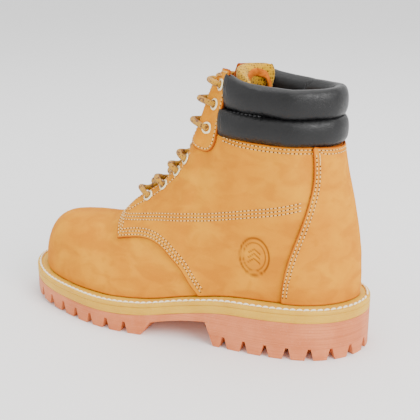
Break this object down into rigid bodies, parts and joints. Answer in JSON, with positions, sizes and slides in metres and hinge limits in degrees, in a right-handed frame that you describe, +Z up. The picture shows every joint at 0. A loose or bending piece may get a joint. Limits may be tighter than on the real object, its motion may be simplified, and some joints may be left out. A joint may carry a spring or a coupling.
{
  "type": "steel toe work boot",
  "caption": "Ankle-height lace-up work boot with a hidden steel toe cap, padded collar rolls, stitched welt and deep lugged sole; the laced tongue folds back to let the foot in.",
  "frame": {"origin": "on the ground, under the middle of the sole's bounding box", "axes": "+X from toe to heel, +Y to the inner side of the foot, +Z up"},
  "size_m": [0.31, 0.1167, 0.2177],
  "materials": {
    "rubber_outsole": "lug tread rubber, faintly streaked",
    "welt_rubber": "smooth olive-yellow rubber",
    "nubuck": "brushed wheat nubuck",
    "collar_leather": "black grained synthetic leather",
    "suede": "tan suede",
    "mesh": "yellow spacer mesh",
    "foam": "open-cell padding foam",
    "board": "cellulose insole board",
    "thread": "cream sewing thread",
    "lace": "round braided polyester",
    "steel": "pressed steel",
    "eyelet_brass": "pale brass",
    "plastic": "brown thermoplastic"
  },
  "bodies": {
    "boot": {"outsole": "rubber_outsole", "midsole": "welt_rubber", "welt": "welt_rubber", "welt_thread": "thread", "insole_board": "board", "footbed": "mesh", "sole_filler": "foam", "steel_shank": "steel", "steel_toe_cap": "steel", "toe_cap_edge_strip": "foam", "heel_stiffener": "plastic", "vamp": "nubuck", "vamp_lining": "mesh", "quarter_lateral": "nubuck", "quarter_medial": "nubuck", "quarter_padding_lateral": "foam", "quarter_padding_medial": "foam", "quarter_lining_lateral": "mesh", "quarter_lining_medial": "mesh", "heel_cover": "nubuck", "eyestay_lateral": "nubuck", "eyestay_medial": "nubuck", "collar_lower_roll": "collar_leather", "collar_upper_roll": "collar_leather", "eyelets_lateral": "eyelet_brass", "eyelets_medial": "eyelet_brass", "lace": "lace", "lace_aglets": "plastic", "gusset_lateral": "suede", "gusset_medial": "suede"},
    "tongue": {"tongue": "nubuck", "tongue_foam": "foam", "tongue_lining": "mesh"}
  },
  "joints": [
    {"name": "tongue_fold", "type": "hinge", "parent": "boot", "child": "tongue", "pos_m": [-0.0475, 0.002, 0.076], "axis": [0, 1, 0], "range_deg": [0, 9], "deforming": ["gusset_lateral", "gusset_medial"]}
  ]
}
